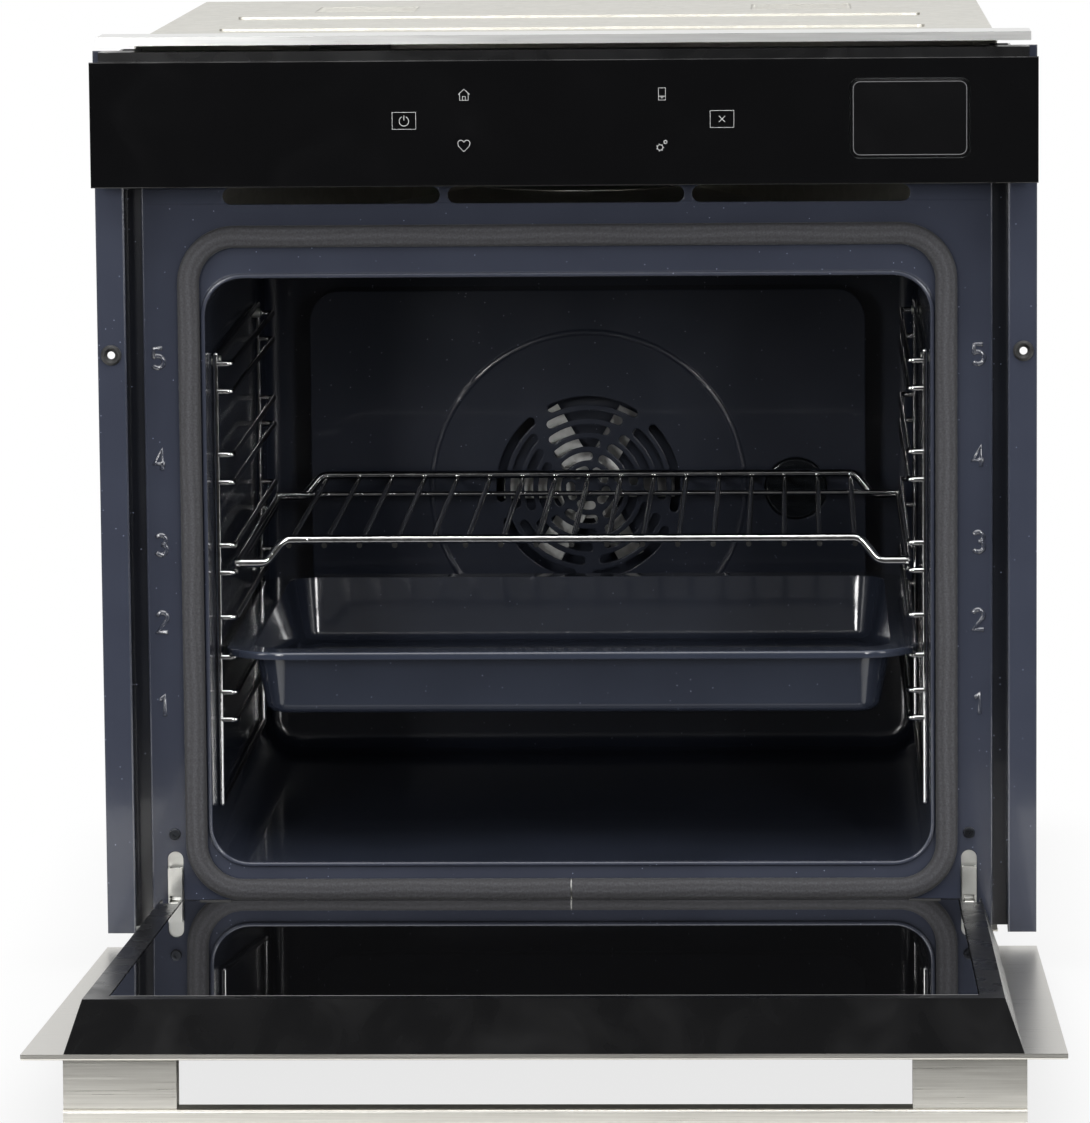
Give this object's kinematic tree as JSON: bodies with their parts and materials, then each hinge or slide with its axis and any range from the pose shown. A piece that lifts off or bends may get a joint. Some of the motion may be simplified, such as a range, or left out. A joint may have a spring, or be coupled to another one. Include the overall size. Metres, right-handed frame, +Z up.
{
  "type": "wall oven",
  "caption": "Built-in electric oven with a drop-down door, braided gasket, wire shelf, deep tray, fan grille, touch control panel and a sliding water drawer.",
  "frame": {"origin": "on the base plane, on the centre line, at the plane of the cabinet front", "axes": "+X to the right of someone facing the oven, +Y into the oven, +Z up"},
  "size_m": [0.595, 1.0398, 0.5978],
  "materials": {
    "galvanised_steel": "satin",
    "bright_trim": "polished",
    "dark_enamel": "gloss",
    "stainless_steel": "brushed",
    "black_steel": "satin",
    "black_glass": "gloss",
    "clear_glass": "gloss",
    "tinted_glass": "gloss",
    "chromed_wire": "polished",
    "glass_braid": "woven",
    "glass_wool": "matte",
    "black_plastic": "matte",
    "gloss_black_plastic": "gloss",
    "grey_plastic": "matte",
    "clear_plastic": "gloss",
    "plated_steel": "zinc plated",
    "heater_sheath": "oxidised",
    "motor_steel": "satin",
    "circuit_board": "matte",
    "ceramic_white": "gloss"
  },
  "bodies": {
    "oven": {"base_plate": "galvanised_steel", "side_panel_left": "galvanised_steel", "side_panel_right": "galvanised_steel", "rear_cover": "galvanised_steel", "top_cover": "galvanised_steel", "top_trim": "bright_trim", "side_trim_left": "dark_enamel", "side_trim_right": "dark_enamel", "niche_bushes": "black_plastic", "face_frame": "dark_enamel", "door_gasket": "glass_braid", "cavity": "dark_enamel", "fan_cover": "dark_enamel", "fan_motor": "motor_steel", "ring_heater": "heater_sheath", "grill_element": "heater_sheath", "bottom_element": "heater_sheath", "lamp_glass": "clear_glass", "lamp_holder": "plated_steel", "lamp_bulb": "clear_glass", "side_rack_left": "chromed_wire", "side_rack_right": "chromed_wire", "rack_studs": "plated_steel", "insulation": "glass_wool", "heat_shield": "galvanised_steel", "air_duct": "galvanised_steel", "blower_housing": "galvanised_steel", "blower_motor": "motor_steel", "terminal_box": "grey_plastic", "fascia_glass": "black_glass", "fascia_carrier": "dark_enamel", "display_module": "gloss_black_plastic", "control_board": "circuit_board", "drawer_housing": "grey_plastic", "hinge_receivers": "plated_steel", "hinge_arms": "plated_steel", "frame_screws": "black_steel"},
    "door": {"hinge_pins": "plated_steel", "hinge_casings": "plated_steel", "hinge_springs": "plated_steel", "door_panel": "stainless_steel", "door_outer_glass": "tinted_glass", "door_middle_glass": "clear_glass", "door_inner_glass": "tinted_glass", "door_side_rail_left": "black_steel", "door_side_rail_right": "black_steel", "door_bottom_rail": "black_steel", "door_top_rail": "black_steel", "handle_posts": "stainless_steel", "handle_bar": "stainless_steel", "handle_screws": "plated_steel"},
    "hinge_lock_left": {"hinge_lock_left": "plated_steel"},
    "hinge_lock_right": {"hinge_lock_right": "plated_steel"},
    "convection_fan": {"convection_fan": "plated_steel", "fan_shaft": "plated_steel"},
    "blower_wheel": {"blower_wheel": "plated_steel"},
    "wire_shelf": {"wire_shelf": "chromed_wire"},
    "deep_tray": {"deep_tray": "dark_enamel"},
    "water_drawer": {"water_drawer_flap": "gloss_black_plastic", "water_tank": "clear_plastic"}
  },
  "joints": [
    {"name": "door_hinge", "type": "hinge", "parent": "oven", "child": "door", "pos_m": [0, -0.013, 0.002], "axis": [-1, 0, 0], "range_deg": [0, 86.3]},
    {"name": "shelf_slide", "type": "slide", "parent": "oven", "child": "wire_shelf", "axis": [0, 1, 0], "range_m": [-0.35, 0]},
    {"name": "tray_slide", "type": "slide", "parent": "oven", "child": "deep_tray", "axis": [0, 1, 0], "range_m": [-0.35, 0]},
    {"name": "water_drawer_slide", "type": "slide", "parent": "oven", "child": "water_drawer", "axis": [0, 1, 0], "range_m": [-0.1, 0]},
    {"name": "hinge_lock_left_flip", "type": "hinge", "parent": "oven", "child": "hinge_lock_left", "pos_m": [-0.255, 0.013, 0.015], "axis": [-1, 0, 0], "range_deg": [-60, 0]},
    {"name": "hinge_lock_right_flip", "type": "hinge", "parent": "oven", "child": "hinge_lock_right", "pos_m": [0.255, 0.013, 0.015], "axis": [-1, 0, 0], "range_deg": [-60, 0]},
    {"name": "convection_fan_spin", "type": "hinge", "parent": "oven", "child": "convection_fan", "pos_m": [0, 0.45, 0.234], "axis": [0, 1, 0], "continuous": true},
    {"name": "blower_spin", "type": "hinge", "parent": "oven", "child": "blower_wheel", "pos_m": [0, 0.42, 0.47], "axis": [0, 0, 1], "continuous": true}
  ]
}
